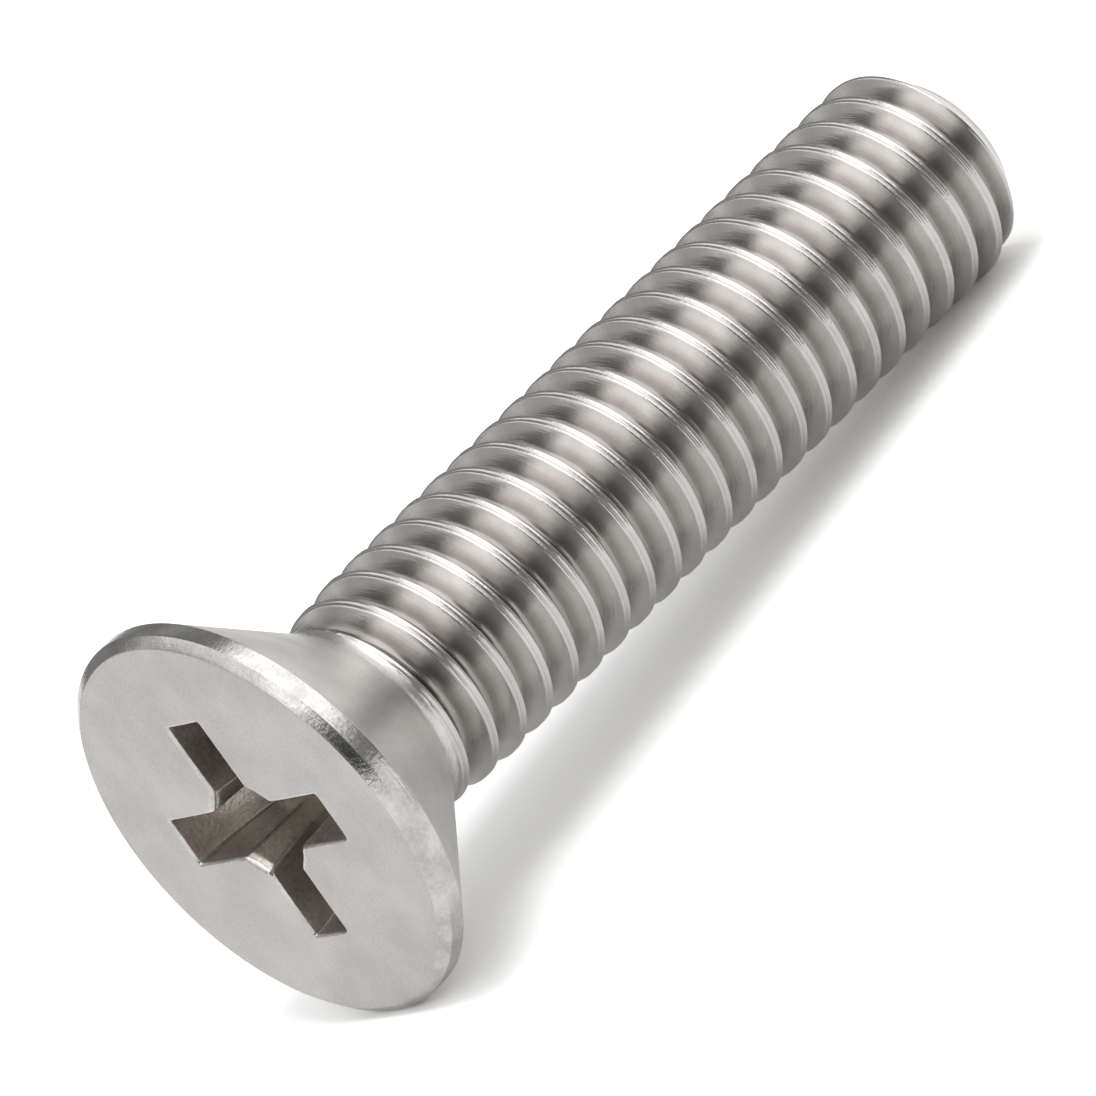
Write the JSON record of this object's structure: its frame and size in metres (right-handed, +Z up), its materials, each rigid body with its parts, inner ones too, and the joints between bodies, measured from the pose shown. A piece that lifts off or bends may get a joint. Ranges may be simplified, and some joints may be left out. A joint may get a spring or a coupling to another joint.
{
  "type": "countersunk cross-recess machine screw",
  "caption": "Stainless steel machine screw with a flat countersunk head, a cross recess and a rounded rolled thread along its whole shank.",
  "frame": {"origin": "the floor under the middle of the screw's length, with the screw lying as it comes to rest on its head's rim and the thread near its tip", "axes": "+X along the shank towards the tip, which points down by about six degrees, +Y to the left of that, +Z up"},
  "size_m": [0.0192, 0.0076, 0.0077],
  "materials": {
    "steel": "satin, tumbled face and seat, brighter burnished thread"
  },
  "bodies": {
    "root": {"screw": "steel"}
  },
  "joints": []
}
